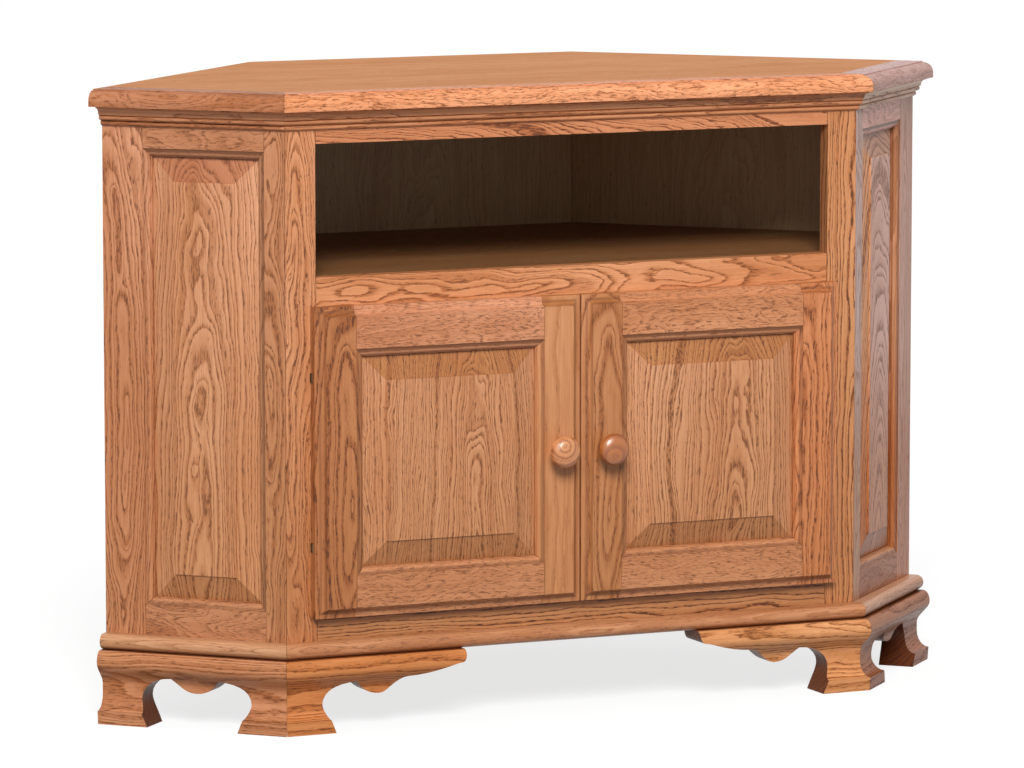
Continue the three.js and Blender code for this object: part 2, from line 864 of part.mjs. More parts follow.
// Rear foot: a plain post under the bottom deck, at the middle of the cut-off corner

function makeRearFoot() {
  const back = carcass_depth - wall_panel - rear_foot_inset;
  const crown = door_bay_floor - shelf_thickness - joint;
  const half = rear_foot / 2;
  add(cabinet, "rear_foot", box(-half, half, back - rear_foot, back, 0, crown), oak);
}

makeTop();
makeCornice();
makeFaceFrame();
makeBack();
makeShelves();
makeCatches();
makeBaseMoulding();
makeBrackets();
makeRearFoot();
Object.keys(sides).forEach((side) => {
  makeFacet(side);
  makeDoor(side);
  makeKnob(side);
  makeHinges(side);
});

export default cabinet;
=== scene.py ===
"""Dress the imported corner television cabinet: stained red oak, turned knobs, bronze hinges."""
import json
import math

import bpy
from mathutils import Matrix, Vector


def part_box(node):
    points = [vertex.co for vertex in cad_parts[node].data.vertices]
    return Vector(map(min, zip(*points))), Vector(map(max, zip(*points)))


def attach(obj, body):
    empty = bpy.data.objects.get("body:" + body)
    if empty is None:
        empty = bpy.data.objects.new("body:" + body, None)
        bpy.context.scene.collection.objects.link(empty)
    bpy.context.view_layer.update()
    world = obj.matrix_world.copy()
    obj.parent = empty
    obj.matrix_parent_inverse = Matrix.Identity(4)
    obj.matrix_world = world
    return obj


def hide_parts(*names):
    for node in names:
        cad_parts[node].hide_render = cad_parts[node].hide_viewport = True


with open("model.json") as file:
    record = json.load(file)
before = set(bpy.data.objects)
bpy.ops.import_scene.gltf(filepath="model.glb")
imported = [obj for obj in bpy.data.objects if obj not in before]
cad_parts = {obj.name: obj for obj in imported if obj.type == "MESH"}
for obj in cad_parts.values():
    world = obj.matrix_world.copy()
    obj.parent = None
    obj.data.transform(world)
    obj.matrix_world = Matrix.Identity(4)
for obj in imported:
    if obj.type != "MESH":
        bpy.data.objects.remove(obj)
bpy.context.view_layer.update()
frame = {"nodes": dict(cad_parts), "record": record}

# Directions of the cabinet: the front faces -Y, and each facet turns back at 45 degrees
TURN = math.radians(45)
RIGHT = Vector((1, 0, 0))
BACK = Vector((0, 1, 0))
UP = Vector((0, 0, 1))
FRONT = -BACK
ALONG = {
    "front": RIGHT,
    "right": Vector((math.cos(TURN), math.sin(TURN), 0)),
    "left": Vector((-math.cos(TURN), math.sin(TURN), 0)),
}
OUT = {
    "front": FRONT,
    "right": Vector((math.sin(TURN), -math.cos(TURN), 0)),
    "left": Vector((-math.sin(TURN), -math.cos(TURN), 0)),
}
SIDES = ("left", "right")
OTHER = {"left": "right", "right": "left"}
HINGES = ("upper", "lower")
LEAVES = ("frame_leaf", "door_leaf")


# Camera and studio

LENS = 217.2
SENSOR_WIDTH = 36
FAR_END = 200
CAMERA_SPOT = (-2.9006, -6.4607, 1.2371)
# How far the camera looks down, and how far it is turned from the cabinet's front, in radians
CAMERA_DIP = 0.1249
CAMERA_TURN = -0.4239
# How strongly the soft light comes from the left and from the right
LEFT_LIGHT = 0.42
RIGHT_LIGHT = 0.16
FLOOR_SIZE = 120
FLOOR_GAP = 0.0002
FLOOR_GREY = (0.3, 0.3, 0.3, 1)
# What the floor adds where it is seen, so that it shows white but for the shadow
FLOOR_GLOW = 0.76
WHITE = (1, 1, 1, 1)


def place_camera():
    lens = bpy.data.cameras.new("camera")
    lens.lens = LENS
    lens.sensor_width = SENSOR_WIDTH
    lens.clip_end = FAR_END
    camera = bpy.data.objects.new("camera", lens)
    camera.location = CAMERA_SPOT
    camera.rotation_euler = (math.pi / 2 - CAMERA_DIP, 0, CAMERA_TURN)
    bpy.context.scene.collection.objects.link(camera)
    bpy.context.scene.camera = camera


def sun(name, direction, strength, spread):
    lamp = bpy.data.lights.new(name, "SUN")
    lamp.energy = strength
    lamp.angle = math.radians(spread)
    holder = bpy.data.objects.new(name, lamp)
    holder.rotation_euler = Vector(direction).to_track_quat("Z", "Y").to_euler()
    bpy.context.scene.collection.objects.link(holder)


class Nodes:
    """Adds shader nodes to a tree. An input is a socket to link or a plain value."""

    def __init__(self, tree):
        self.tree = tree
        tree.nodes.clear()

    def add(self, kind, inputs=None, **settings):
        node = self.tree.nodes.new(kind)
        for key, value in settings.items():
            setattr(node, key, value)
        for key, value in (inputs or {}).items():
            socket = node.inputs[key]
            if isinstance(value, bpy.types.NodeSocket):
                self.tree.links.new(value, socket)
            else:
                socket.default_value = value
        return node

    def math(self, operation, a, b=0.0, c=0.0):
        return self.add("ShaderNodeMath", {0: a, 1: b, 2: c}, operation=operation).outputs[0]

    def vector(self, operation, a, b=(0, 0, 0)):
        return self.add("ShaderNodeVectorMath", {0: a, 1: b}, operation=operation).outputs[0]

    def noise(self, place, stretch, detail=2.0, roughness=0.5, output="Fac"):
        scaled = self.vector("MULTIPLY", place, stretch)
        values = {"Vector": scaled, "Scale": 1.0, "Detail": detail, "Roughness": roughness}
        return self.add("ShaderNodeTexNoise", values).outputs[output]

    def span(self, value, low, high, to_low=0.0, to_high=1.0):
        values = {"Value": value, "From Min": low, "From Max": high, "To Min": to_low, "To Max": to_high}
        return self.add("ShaderNodeMapRange", values).outputs[0]

    def blend(self, share, a, b, kind="MIX"):
        node = self.add("ShaderNodeMix", data_type="RGBA", blend_type=kind)
        for index, value in ((0, share), (6, a), (7, b)):
            if isinstance(value, bpy.types.NodeSocket):
                self.tree.links.new(value, node.inputs[index])
            else:
                node.inputs[index].default_value = value
        return node.outputs[2]

    def ramp(self, value, stops):
        node = self.add("ShaderNodeValToRGB", {0: value})
        ramp = node.color_ramp
        while len(ramp.elements) < len(stops):
            ramp.elements.new(0.5)
        for element, (place, level) in zip(ramp.elements, stops):
            element.position = place
            element.color = (level, level, level, 1)
        return node.outputs[0]

    def shown_background(self):
        path = self.add("ShaderNodeLightPath")
        seen = self.math("MAXIMUM", path.outputs["Is Camera Ray"], path.outputs["Is Glossy Ray"])
        return self.math("MAXIMUM", seen, path.outputs["Is Transmission Ray"])


def light_world():
    world = bpy.data.worlds.new("studio")
    bpy.context.scene.world = world
    world.use_nodes = True
    n = Nodes(world.node_tree)
    place = n.add("ShaderNodeTexCoord").outputs["Generated"]
    across = n.add("ShaderNodeSeparateXYZ", {0: place}).outputs[0]
    level = n.span(across, -1, 1, LEFT_LIGHT, RIGHT_LIGHT)
    soft = n.add("ShaderNodeBackground", {"Color": WHITE, "Strength": level})
    white = n.add("ShaderNodeBackground", {"Color": WHITE, "Strength": 1.0})
    mixed = n.add("ShaderNodeMixShader", {0: n.shown_background(), 1: soft.outputs[0], 2: white.outputs[0]})
    n.add("ShaderNodeOutputWorld", {"Surface": mixed.outputs[0]})


def lay_floor():
    bpy.ops.mesh.primitive_plane_add(size=FLOOR_SIZE, location=(0, 0, -FLOOR_GAP))
    floor = bpy.context.object
    floor.name = "floor"
    paint = bpy.data.materials.new("pale_floor")
    paint.use_nodes = True
    n = Nodes(paint.node_tree)
    matt = n.add("ShaderNodeBsdfDiffuse", {"Color": FLOOR_GREY})
    strength = n.math("MULTIPLY", n.shown_background(), FLOOR_GLOW)
    glow = n.add("ShaderNodeEmission", {"Color": WHITE, "Strength": strength})
    both = n.add("ShaderNodeAddShader", {0: matt.outputs[0], 1: glow.outputs[0]})
    n.add("ShaderNodeOutputMaterial", {"Surface": both.outputs[0]})
    floor.data.materials.append(paint)


# Wood. Each board is cut from its own log: rings about a pith line that lies behind the board's face
# and slopes away from it, which gives straight grain at the sides and arches in the middle.

TAN = (0.600, 0.252, 0.098, 1)
LIGHT = (0.760, 0.375, 0.178, 1)
AMBER = (0.415, 0.135, 0.034, 1)
DARK = (0.125, 0.038, 0.012, 1)
# The dark of stain and painted shade in the mouldings' lines
STAIN_AND_SHADE = (0.150, 0.048, 0.014, 1)
END_GRAIN = (0.72, 0.62, 0.43, 1)

# Noise waves per metre along the grain, across it and into the board
SWAY_WAVES = (4.5, 15.0, 15.0)
RIPPLE_WAVES = (15.0, 22.0, 22.0)
JAG_WAVES = (70.0, 260.0, 260.0)
PORE_WAVES = (90.0, 620.0, 620.0)
SPECK_WAVES = (150.0, 1300.0, 1300.0)
CLOUD_WAVES = (3.0, 16.0, 16.0)
FIBRE_WAVES = (22.0, 800.0, 800.0)

# How far along its log the board with the next seed is cut, in metres
SEED_STEP = 1.37
# How much more the rings wander into the board than across it
INTO_BOARD = 1.4
# How quickly the rings' width changes from year to year, and by how many years they shift
YEAR_CHANGE = 0.41
YEAR_SHIFT = 3.2
# How open the early wood and how dense the late wood is through one year
EARLY = [(0.0, 0.25), (0.05, 1.0), (0.2, 0.85), (0.42, 0.3), (0.66, 0.04), (0.95, 0.0), (1.0, 0.25)]
LATE = [(0.5, 0.0), (0.8, 1.0), (0.96, 1.0), (1.0, 0.2)]

# Where in their noise the pores, specks, clouds and fibres begin and are full
PORE_EDGE = (0.66, 0.78)
SPECK_EDGE = (0.5, 0.66)
CLOUD_EDGE = (0.32, 0.68)
FIBRE_EDGE = (0.38, 0.72)
# How many more pores and specks the early wood has, and how strong the specks are elsewhere
EARLY_PORES = 0.21
EARLY_SPECKS = 0.3
SPECKS = 0.12
# How much amber the early wood and the fibres take, and how much lighter the late wood is
EARLY_AMBER = 0.7
FIBRE_AMBER = 0.42
LATE_LIGHT = 0.3
# How much rougher the pores are, and how deep
PORE_ROUGH = 0.14
PORE_DEPTH = 0.0003
PORE_STRENGTH = 0.3

# How far a face leans along the grain where the end grain begins and is full
CUT_EDGE = (0.05, 0.24)
# How much of it the lower or left end of a board shows, less than the other end so that faces looking down
# stay lighter as painted light against their shade, and the leans between which that changes to all
LOWER_CUT_PAINTED_LIGHT = 0.62
CUT_TURN = (-0.04, 0.04)

CENTIMETRES = 100
# Half the width over which one side of a moulded board passes into the other
MIDDLE_BLUR = 0.001
# How much stain and painted shade gather at each depth below the face, in centimetres: in the quirk and at
# the foot of the moulding
STAIN_AND_SHADE_LINES = [(0.0, 0.0), (0.07, 0.0), (0.085, 1.0), (0.13, 0.8), (0.17, 0.0), (0.55, 0.0), (0.62, 0.75),
               (0.7, 0.75), (0.74, 0.0)]
# How much painted highlight lightens the moulding's belly between them
BELLY_HIGHLIGHT = [(0.17, 0.0), (0.22, 1.0), (0.45, 1.0), (0.54, 0.0)]


def tinted(colour, tint):
    return (colour[0] * tint[0], colour[1] * tint[1], colour[2] * tint[2], 1)


def wandering(n, wood, stretch, reach, detail=2.0):
    """A shift of the rings, across the board and into it."""
    drift = n.noise(wood, stretch, detail, roughness=0.55, output="Color")
    shift = n.vector("SUBTRACT", drift, (0.5, 0.5, 0.5))
    return n.vector("MULTIPLY", shift, (0, reach, reach * INTO_BOARD))


def grow_rings(n, wood, timber):
    """The place in the log once the rings have wandered, and how much early and late wood lies there."""
    grown = n.vector("ADD", wood, wandering(n, wood, SWAY_WAVES, timber["sway"]))
    grown = n.vector("ADD", grown, wandering(n, wood, RIPPLE_WAVES, timber["ripple"]))
    grown = n.vector("ADD", grown, wandering(n, wood, JAG_WAVES, timber["jag"], detail=3.0))

    parts = n.add("ShaderNodeSeparateXYZ", {0: grown}).outputs
    run = n.math("SUBTRACT", parts[0], timber["seed"] * SEED_STEP)
    rise = n.math("ADD", n.math("MULTIPLY_ADD", run, timber["slope"], timber["depth"]), parts[2])
    section = n.add("ShaderNodeCombineXYZ", {0: 0.0, 1: parts[1], 2: rise}).outputs[0]
    radius = n.add("ShaderNodeVectorMath", {0: section}, operation="LENGTH").outputs["Value"]
    years = n.math("DIVIDE", radius, timber["ring"])
    values = {"W": years, "Scale": YEAR_CHANGE, "Detail": 1.0}
    uneven = n.add("ShaderNodeTexNoise", values, noise_dimensions="1D")
    years = n.math("MULTIPLY_ADD", uneven.outputs["Fac"], YEAR_SHIFT, years)
    year = n.math("FRACT", years)
    early = n.ramp(year, EARLY)
    late = n.ramp(year, LATE)
    early = n.math("MULTIPLY", n.math("POWER", early, timber["narrow"]), timber["figure"])
    return grown, early, late


def open_pores(n, wood, grown, early, timber):
    """How open the wood is: long dashes, most of them in the early wood, and short specks."""
    dashes = n.noise(grown, [waves * timber["fine"] for waves in PORE_WAVES], roughness=0.6)
    dashes = n.math("MULTIPLY_ADD", early, EARLY_PORES, dashes)
    dashes = n.span(dashes, *(edge - timber["pores"] for edge in PORE_EDGE))
    specks = n.span(n.noise(wood, SPECK_WAVES, detail=1.0), *SPECK_EDGE)
    pores = n.math("MULTIPLY_ADD", specks, n.math("MULTIPLY_ADD", early, EARLY_SPECKS, SPECKS), dashes)
    return n.math("MINIMUM", pores, 1.0)


def ground_colour(n, wood, early, late, timber):
    """The colour between the pores: cloudy tan, with amber early wood and fibres and light late wood."""
    tint = timber["tint"]
    cloud = n.noise(wood, CLOUD_WAVES, detail=3.0)
    cloud = n.span(cloud, *CLOUD_EDGE, 0.5 - timber["cloud"], 0.5 + timber["cloud"])
    ground = n.blend(cloud, tinted(TAN, tint), tinted(LIGHT, tint))
    ground = n.blend(n.math("MULTIPLY", early, EARLY_AMBER), ground, tinted(AMBER, tint))
    ground = n.blend(n.math("MULTIPLY", late, LATE_LIGHT), ground, tinted(LIGHT, tint))
    fibre = n.span(n.noise(wood, FIBRE_WAVES, roughness=0.6), *FIBRE_EDGE, 0.0, FIBRE_AMBER)
    return n.blend(fibre, ground, tinted(AMBER, tint))


def stained_edges(n, colour, aside, below, timber):
    """The colour with a painted highlight on a moulding's belly, and with stain and painted shade gathered
    along its lines.

    Aside is the place across the board, and below the depth under its face in centimetres.
    """
    middle_line = (timber["aside"] - MIDDLE_BLUR, timber["aside"] + MIDDLE_BLUR)
    # A painted highlight lightens the moulding's belly
    rubbed = n.span(aside, *middle_line, *timber["rubbed"])
    rubbed = n.math("MULTIPLY", rubbed, n.ramp(below, BELLY_HIGHLIGHT))
    colour = n.blend(rubbed, colour, tinted(LIGHT, timber["tint"]))
    # Stain and painted shade darken the quirk and the foot of the moulding
    gathered = n.span(aside, *middle_line, *timber["stain"])
    gathered = n.math("MULTIPLY", gathered, n.ramp(below, STAIN_AND_SHADE_LINES))
    return n.blend(gathered, colour, STAIN_AND_SHADE)


def tinted_faces(n, colour, coords, along, timber):
    """The colour with the end grain darker, less so where it looks down as painted light against its shade,
    and with a board's tints by direction and by height, some of them painted sheen or shade.
    """
    facing = n.add("ShaderNodeTexCoord").outputs["Normal"]
    lean = n.add("ShaderNodeVectorMath", {0: facing, 1: along}, operation="DOT_PRODUCT").outputs["Value"]
    cut_ends = n.span(n.math("ABSOLUTE", lean), *CUT_EDGE)
    # Faces looking down keep less of the end grain's darkening: painted light against their shade
    cut_ends = n.math("MULTIPLY", cut_ends, n.span(lean, *CUT_TURN, LOWER_CUT_PAINTED_LIGHT, 1.0))
    colour = n.blend(cut_ends, colour, END_GRAIN, "MULTIPLY")
    if timber["away"]:
        away = n.add("ShaderNodeVectorMath", {0: facing, 1: timber["from"]}, operation="DOT_PRODUCT")
        away = n.span(away.outputs["Value"], *timber["edge"], 1.0, 0.0)
        colour = n.blend(away, colour, (*timber["away"], 1), "MULTIPLY")
    # A tint that changes with height: darker low down, as painted shade near the floor
    if timber["high"]:
        height = n.add("ShaderNodeSeparateXYZ", {0: coords}).outputs[2]
        tone = n.blend(n.span(height, *timber["heights"]), (*timber["low"], 1), (*timber["high"], 1))
        colour = n.blend(1.0, colour, tone, "MULTIPLY")
    return colour


def oak(name, along, across, centre, timber, outward=None, face=0.0):
    """A finish whose grain runs along one direction, with its figure centred on the board.

    Stain and painted shade gather along the moulded edges of a board that is given its outward direction and
    the height of its face over its centre, and a painted highlight lightens the moulding's belly.
    """
    paint = bpy.data.materials.new(name)
    paint.use_nodes = True
    n = Nodes(paint.node_tree)
    out = along.cross(across)
    turn = Matrix((along, across, out))
    shift = Vector((timber["seed"] * SEED_STEP, timber["aside"], 0)) - turn @ Vector(centre)
    coords = n.add("ShaderNodeTexCoord").outputs["Object"]
    values = {"Vector": coords, "Location": shift, "Rotation": turn.to_euler("XYZ")}
    wood = n.add("ShaderNodeMapping", values, vector_type="POINT").outputs[0]

    grown, early, late = grow_rings(n, wood, timber)
    pores = open_pores(n, wood, grown, early, timber)
    ground = ground_colour(n, wood, early, late, timber)
    colour = n.blend(n.math("MULTIPLY", pores, timber["contrast"]), ground, tinted(DARK, timber["tint"]))
    if outward:
        spot = n.add("ShaderNodeSeparateXYZ", {0: wood}).outputs
        below = n.math("SUBTRACT", face, n.math("MULTIPLY", spot[2], out.dot(outward)))
        below = n.math("MULTIPLY", below, CENTIMETRES)
        colour = stained_edges(n, colour, spot[1], below, timber)
    colour = tinted_faces(n, colour, coords, along, timber)

    rough = n.math("MULTIPLY_ADD", pores, PORE_ROUGH, timber["rough"])
    relief = n.math("SUBTRACT", 1.0, pores)
    bump = n.add("ShaderNodeBump", {"Height": relief, "Strength": PORE_STRENGTH, "Distance": PORE_DEPTH})
    shader = n.add("ShaderNodeBsdfPrincipled", {"Base Color": colour, "Roughness": rough})
    shader.inputs["Specular IOR Level"].default_value = timber["gloss"]
    n.tree.links.new(bump.outputs[0], shader.inputs["Normal"])
    n.add("ShaderNodeOutputMaterial", {"Surface": shader.outputs[0]})
    return paint


# A board's settings: where its pith line lies (aside, depth) and how it slopes, the rings' width, how they
# wander (sway, ripple, jag), how strong the rings and the pores between them show (figure, pores, contrast),
# how narrow their bands are (narrow), how small the pores are (fine) and how cloudy the ground is (cloud).
# Then come how much stain and painted shade lie in the mouldings and how much painted highlight lightens
# their bellies, at the lower or left edge and at the upper or right edge. Faces turned away from a direction
# (from) can have a tint of their own (away); edge is how far they lean towards it, with the tint in full and
# with none of it.
# A board can have a tint that changes between two heights over the floor (heights, low, high).

PLAIN = {
    "seed": 1, "aside": 0.0, "depth": 0.03, "slope": 0.05, "ring": 0.0032,
    "sway": 0.035, "ripple": 0.008, "jag": 0.0013,
    "figure": 1.0, "pores": 0.0, "contrast": 0.72, "narrow": 1.0, "fine": 1.0, "cloud": 0.5,
    "tint": (1, 1, 1), "rough": 0.36, "gloss": 0.4, "stain": (0.5, 0.5), "rubbed": (0.2, 0.2),
    "from": FRONT, "away": None, "edge": (-0.2, 0.2), "heights": (0.16, 0.64), "low": None, "high": None,
}
# The uprights are painted darker and warmer low down, as painted shade near the floor, and paler and bluer
# towards the top; the right facet's lower part is warmer still, with less of its painted sheen
TINT_BY_HEIGHT = {
    "front": {"low": (0.88, 0.86, 0.79), "high": (1.22, 1.3, 1.48)},
    "left": {"low": (0.88, 0.87, 0.79), "high": (1.1, 1.14, 1.24)},
    "right": {"low": (0.81, 0.61, 0.34), "high": (1.1, 1.2, 1.33), "heights": (0.25, 0.40)},
}


def board(**changes):
    return {**PLAIN, **changes}


# Antique bronze for the hinges, a little lighter where it is worn

BRONZE_DARK = (0.075, 0.045, 0.025, 1)
BRONZE_WORN = (0.19, 0.115, 0.06, 1)
BRONZE_WAVES = (400.0, 400.0, 400.0)
WORN_EDGE = (0.35, 0.7)
BRONZE_ROUGH = (0.5, 0.32)
BRONZE_METAL = 0.9


def bronze():
    paint = bpy.data.materials.new("antique_bronze")
    paint.use_nodes = True
    n = Nodes(paint.node_tree)
    coords = n.add("ShaderNodeTexCoord").outputs["Object"]
    worn = n.span(n.noise(coords, BRONZE_WAVES, detail=3.0), *WORN_EDGE)
    colour = n.blend(worn, BRONZE_DARK, BRONZE_WORN)
    rough = n.span(worn, 0, 1, *BRONZE_ROUGH)
    values = {"Base Color": colour, "Roughness": rough, "Metallic": BRONZE_METAL}
    shader = n.add("ShaderNodeBsdfPrincipled", values)
    n.add("ShaderNodeOutputMaterial", {"Surface": shader.outputs[0]})
    return paint


# Brown plastic for the catches

PLASTIC_DARK = (0.04, 0.022, 0.014, 1)
PLASTIC_LIGHT = (0.06, 0.034, 0.021, 1)
PLASTIC_WAVES = (1800.0, 1800.0, 1800.0)
GRAIN_EDGE = (0.3, 0.7)
GRAIN_DEPTH = 0.0001
GRAIN_STRENGTH = 0.15
PLASTIC_ROUGH = 0.6
PLASTIC_GLOSS = 0.1


def moulded_plastic():
    paint = bpy.data.materials.new("brown_plastic")
    paint.use_nodes = True
    n = Nodes(paint.node_tree)
    coords = n.add("ShaderNodeTexCoord").outputs["Object"]
    grain = n.noise(coords, PLASTIC_WAVES)
    colour = n.blend(n.span(grain, *GRAIN_EDGE), PLASTIC_DARK, PLASTIC_LIGHT)
    bump = n.add("ShaderNodeBump", {"Height": grain, "Strength": GRAIN_STRENGTH, "Distance": GRAIN_DEPTH})
    shader = n.add("ShaderNodeBsdfPrincipled", {"Base Color": colour, "Roughness": PLASTIC_ROUGH})
    shader.inputs["Specular IOR Level"].default_value = PLASTIC_GLOSS
    n.tree.links.new(bump.outputs[0], shader.inputs["Normal"])
    n.add("ShaderNodeOutputMaterial", {"Surface": shader.outputs[0]})
    return paint


# Boards: the CAD shapes with their sharp edges eased

EASE = 0.0005
# Flush joints are eased less than other edges, and the feet and the catches more
FLUSH_EASE = 0.0002
FOOT_EASE = 0.0006
CATCH_EASE = 0.0008
EASE_STEPS = 2
# How strongly the large flats decide how the eased edges beside them are shaded
FLAT_WEIGHT = 100
# Points nearer than this are one point
MERGE = 0.000002
# Faces that turn by less than this, in degrees, are one flat
FLAT_TURN = 0.6
# Edges that turn by more than this, in degrees, are eased
EDGE_TURN = 32
# Edges that turn by less than these, in degrees, are shaded as part of a curve
SMOOTH_TURN = 31
PANEL_TURN = 6
SCREW_TURN = 30
KNOB_TURN = 50


def only(piece):
    bpy.ops.object.select_all(action="DESELECT")
    piece.select_set(True)
    bpy.context.view_layer.objects.active = piece


def body_of(name):
    bodies = frame["record"]["behaviour"]["bodies"]
    return next(body for body, nodes in bodies.items() if name in nodes)


def eased(name, ease, smooth):
    """A copy of a CAD piece with its edges eased, which stands for it. Its flat faces stay flat."""
    only(frame["nodes"][name])
    bpy.ops.object.duplicate()
    piece = bpy.context.object
    piece.name = name + "_eased"
    bpy.ops.object.mode_set(mode="EDIT")
    bpy.ops.mesh.select_all(action="SELECT")
    bpy.ops.mesh.remove_doubles(threshold=MERGE)
    bpy.ops.mesh.customdata_custom_splitnormals_clear()
    bpy.ops.mesh.dissolve_limited(angle_limit=math.radians(FLAT_TURN))
    bpy.ops.object.mode_set(mode="OBJECT")
    modifier = piece.modifiers.new("ease", "BEVEL")
    modifier.width = ease
    modifier.segments = EASE_STEPS
    modifier.limit_method = "ANGLE"
    modifier.angle_limit = math.radians(EDGE_TURN)
    modifier.use_clamp_overlap = True
    bpy.ops.object.modifier_apply(modifier=modifier.name)
    bpy.ops.object.shade_smooth_by_angle(angle=math.radians(smooth))
    modifier = piece.modifiers.new("flats", "WEIGHTED_NORMAL")
    modifier.weight = FLAT_WEIGHT
    modifier.keep_sharp = True
    bpy.ops.object.modifier_apply(modifier=modifier.name)
    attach(piece, body_of(name))
    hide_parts(name)
    return piece


def dress(name, paint, ease=EASE, smooth=SMOOTH_TURN):
    piece = eased(name, ease, smooth)
    piece.data.materials.clear()
    piece.data.materials.append(paint)


def middle(name):
    low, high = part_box(name)
    return (Vector(low) + Vector(high)) / 2


def face_height(name, out):
    """How far the outermost face of a piece lies from its centre."""
    corners = (vertex.co for vertex in frame["nodes"][name].data.vertices)
    return max(corner.dot(out) for corner in corners) - middle(name).dot(out)


def moulded_face(name, side, moulded):
    """The outward direction and the height of the face for a moulded board's finish, or nothing."""
    return (OUT[side], face_height(name, OUT[side])) if moulded else ()


def upright(name, side, settings, ease=EASE, smooth=SMOOTH_TURN, moulded=False):
    across = -ALONG[side] if side == "left" else ALONG[side]
    paint = oak(name + "_oak", UP, across, middle(name), settings, *moulded_face(name, side, moulded))
    dress(name, paint, ease, smooth)


def level_run(name, side, settings, ease=EASE, moulded=False):
    paint = oak(name + "_oak", ALONG[side], UP, middle(name), settings, *moulded_face(name, side, moulded))
    dress(name, paint, ease)


def flat_board(name, settings, side="front", ease=EASE):
    along = ALONG[side]
    paint = oak(name + "_oak", along, UP.cross(along), middle(name), settings)
    dress(name, paint, ease)


def make_top():
    veneer = board(seed=3, depth=0.5, slope=0.01, ring=0.009, sway=0.01, figure=0.1, pores=0.07, fine=1.4,
                   contrast=0.34, cloud=0.15, tint=(1.09, 1.15, 1.33), rough=0.5, gloss=0.0)
    flat_board("top_field", veneer)
    band = board(seed=5, depth=0.02, slope=0.02, figure=0.5, pores=0.09, fine=1.3, jag=0.003,
                 tint=(1.31, 1.19, 1.30), rough=0.34, gloss=0.03)
    left = {**band, "seed": 6, "contrast": 0.5, "jag": 0.0013, "tint": (0.77, 0.69, 0.77)}
    # The right edge band is tinted bluer, as painted sheen
    right = {**band, "seed": 7, "gloss": 0.35, "contrast": 0.42, "tint": (0.84, 0.97, 1.85)}
    flat_board("top_edge_front", band, ease=FLUSH_EASE)
    flat_board("top_edge_left", left, "left", FLUSH_EASE)
    flat_board("top_edge_right", right, "right", FLUSH_EASE)


def make_mouldings():
    calm = {"depth": 0.05, "slope": 0.01, "ring": 0.003, "sway": 0.012, "ripple": 0.003}
    # The front cornice's tint is lighter, as painted light where the top's overhang shades it, and the right
    # one is much bluer, as painted sheen
    cornice_tint = {"front": (1.14, 1.06, 1.08), "left": (1.02, 0.92, 0.95), "right": (1.34, 1.8, 2.7)}
    base_tint = {"front": (0.82, 0.78, 0.80), "left": (0.84, 0.92, 1.05), "right": (0.8, 0.86, 1.05)}
    for number, side in enumerate(("front", "left", "right")):
        cornice = board(seed=11 + number, tint=cornice_tint[side], **calm)
        base = board(seed=15 + number, tint=base_tint[side], figure=0.7, pores=-0.02, contrast=0.6, **calm)
        level_run("cornice_" + side, side, cornice, FLUSH_EASE)
        level_run("base_moulding_" + side, side, base, FLUSH_EASE)


def make_face_frame():
    left = board(seed=21, aside=0.012, slope=0.1, depth=0.012, ring=0.0036, sway=0.06, contrast=0.85,
                 tint=(0.9, 0.8, 0.75), **TINT_BY_HEIGHT["front"])
    right = board(seed=22, aside=-0.02, depth=0.02, slope=0.03, ring=0.004, sway=0.02, ripple=0.006,
                  figure=1.35, narrow=1.7, pores=-0.015, contrast=0.95, tint=(0.87, 0.79, 0.70),
                  away=(0.74, 0.74, 0.74), edge=(0.2, 0.6), **TINT_BY_HEIGHT["front"])
    top = board(seed=23, aside=0.03, depth=0.045, slope=0.1, ring=0.0026, sway=0.02, ripple=0.005,
                figure=1.3, narrow=1.6, contrast=0.9, tint=(1.03, 0.9, 0.92))
    mid = board(seed=24, aside=0.002, depth=0.02, slope=0.04, ring=0.0034, sway=0.03, ripple=0.004,
                figure=1.25, narrow=1.8, pores=-0.01, contrast=0.72, tint=(1.05, 0.96, 0.94))
    # The base rail is tinted darker, as painted shade under the doors
    base = board(seed=25, aside=0.03, depth=0.02, slope=0.012, ring=0.0042, sway=0.02, ripple=0.004,
                 figure=1.35, narrow=1.7, contrast=1.0, tint=(0.68, 0.63, 0.53))
    upright("face_stile_left", "front", left)
    upright("face_stile_right", "front", right)
    level_run("face_top_rail", "front", top)
    level_run("face_mid_rail", "front", mid)
    level_run("face_base_rail", "front", base)


